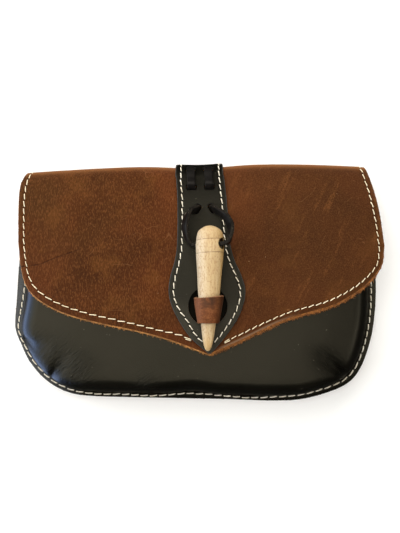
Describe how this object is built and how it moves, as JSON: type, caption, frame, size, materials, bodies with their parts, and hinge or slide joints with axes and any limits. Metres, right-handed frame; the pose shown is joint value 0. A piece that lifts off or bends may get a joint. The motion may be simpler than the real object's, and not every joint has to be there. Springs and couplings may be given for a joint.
{
  "type": "belt bag",
  "caption": "Leather belt bag with a pointed envelope flap, a bulged pouch, a sewn tongue and a turned wooden toggle held by a lace and a keeper loop.",
  "frame": {"origin": "on the resting surface, under the middle of the bag's box, the bag lying on its back on its belt loop", "axes": "+X along the bag's width, to the right seen from the front; +Y up the bag to the fold; +Z out of the front"},
  "size_m": [0.2205, 0.143, 0.0552],
  "materials": {
    "brown_leather": "satin",
    "black_leather": "satin",
    "tongue_leather": "matte",
    "toggle_wood": "satin",
    "lace_leather": "satin",
    "keeper_leather": "satin",
    "sewing_thread": "matte"
  },
  "bodies": {
    "root": {"back_flap": "brown_leather", "front_panel": "black_leather", "tongue": "tongue_leather", "toggle": "toggle_wood", "toggle_lace": "lace_leather", "keeper_loop": "keeper_leather", "belt_loop": "brown_leather"}
  },
  "joints": []
}
